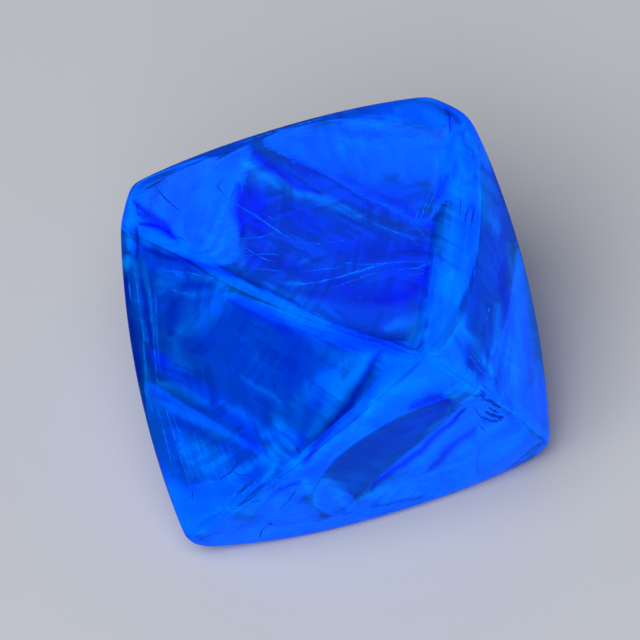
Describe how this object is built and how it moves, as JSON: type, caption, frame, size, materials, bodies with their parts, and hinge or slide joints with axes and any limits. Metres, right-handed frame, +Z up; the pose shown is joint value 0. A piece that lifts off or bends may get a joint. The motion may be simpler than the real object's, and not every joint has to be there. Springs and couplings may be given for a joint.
{
  "type": "rough diamond",
  "caption": "Uncut octahedral diamond crystal with bulging, growth-stepped faces, clear and glowing azure, lying on its flat base face.",
  "frame": {"origin": "on the resting plane, under the middle of the crystal's box", "axes": "+Z up, square to the flat base face; -Y towards the front corner of the octahedron, +X to its right"},
  "size_m": [0.0072, 0.007, 0.0055],
  "materials": {
    "diamond": "clear crystal, glowing azure, with faint growth lines and etch pits"
  },
  "bodies": {
    "root": {"diamond_crystal": "diamond"}
  },
  "joints": []
}
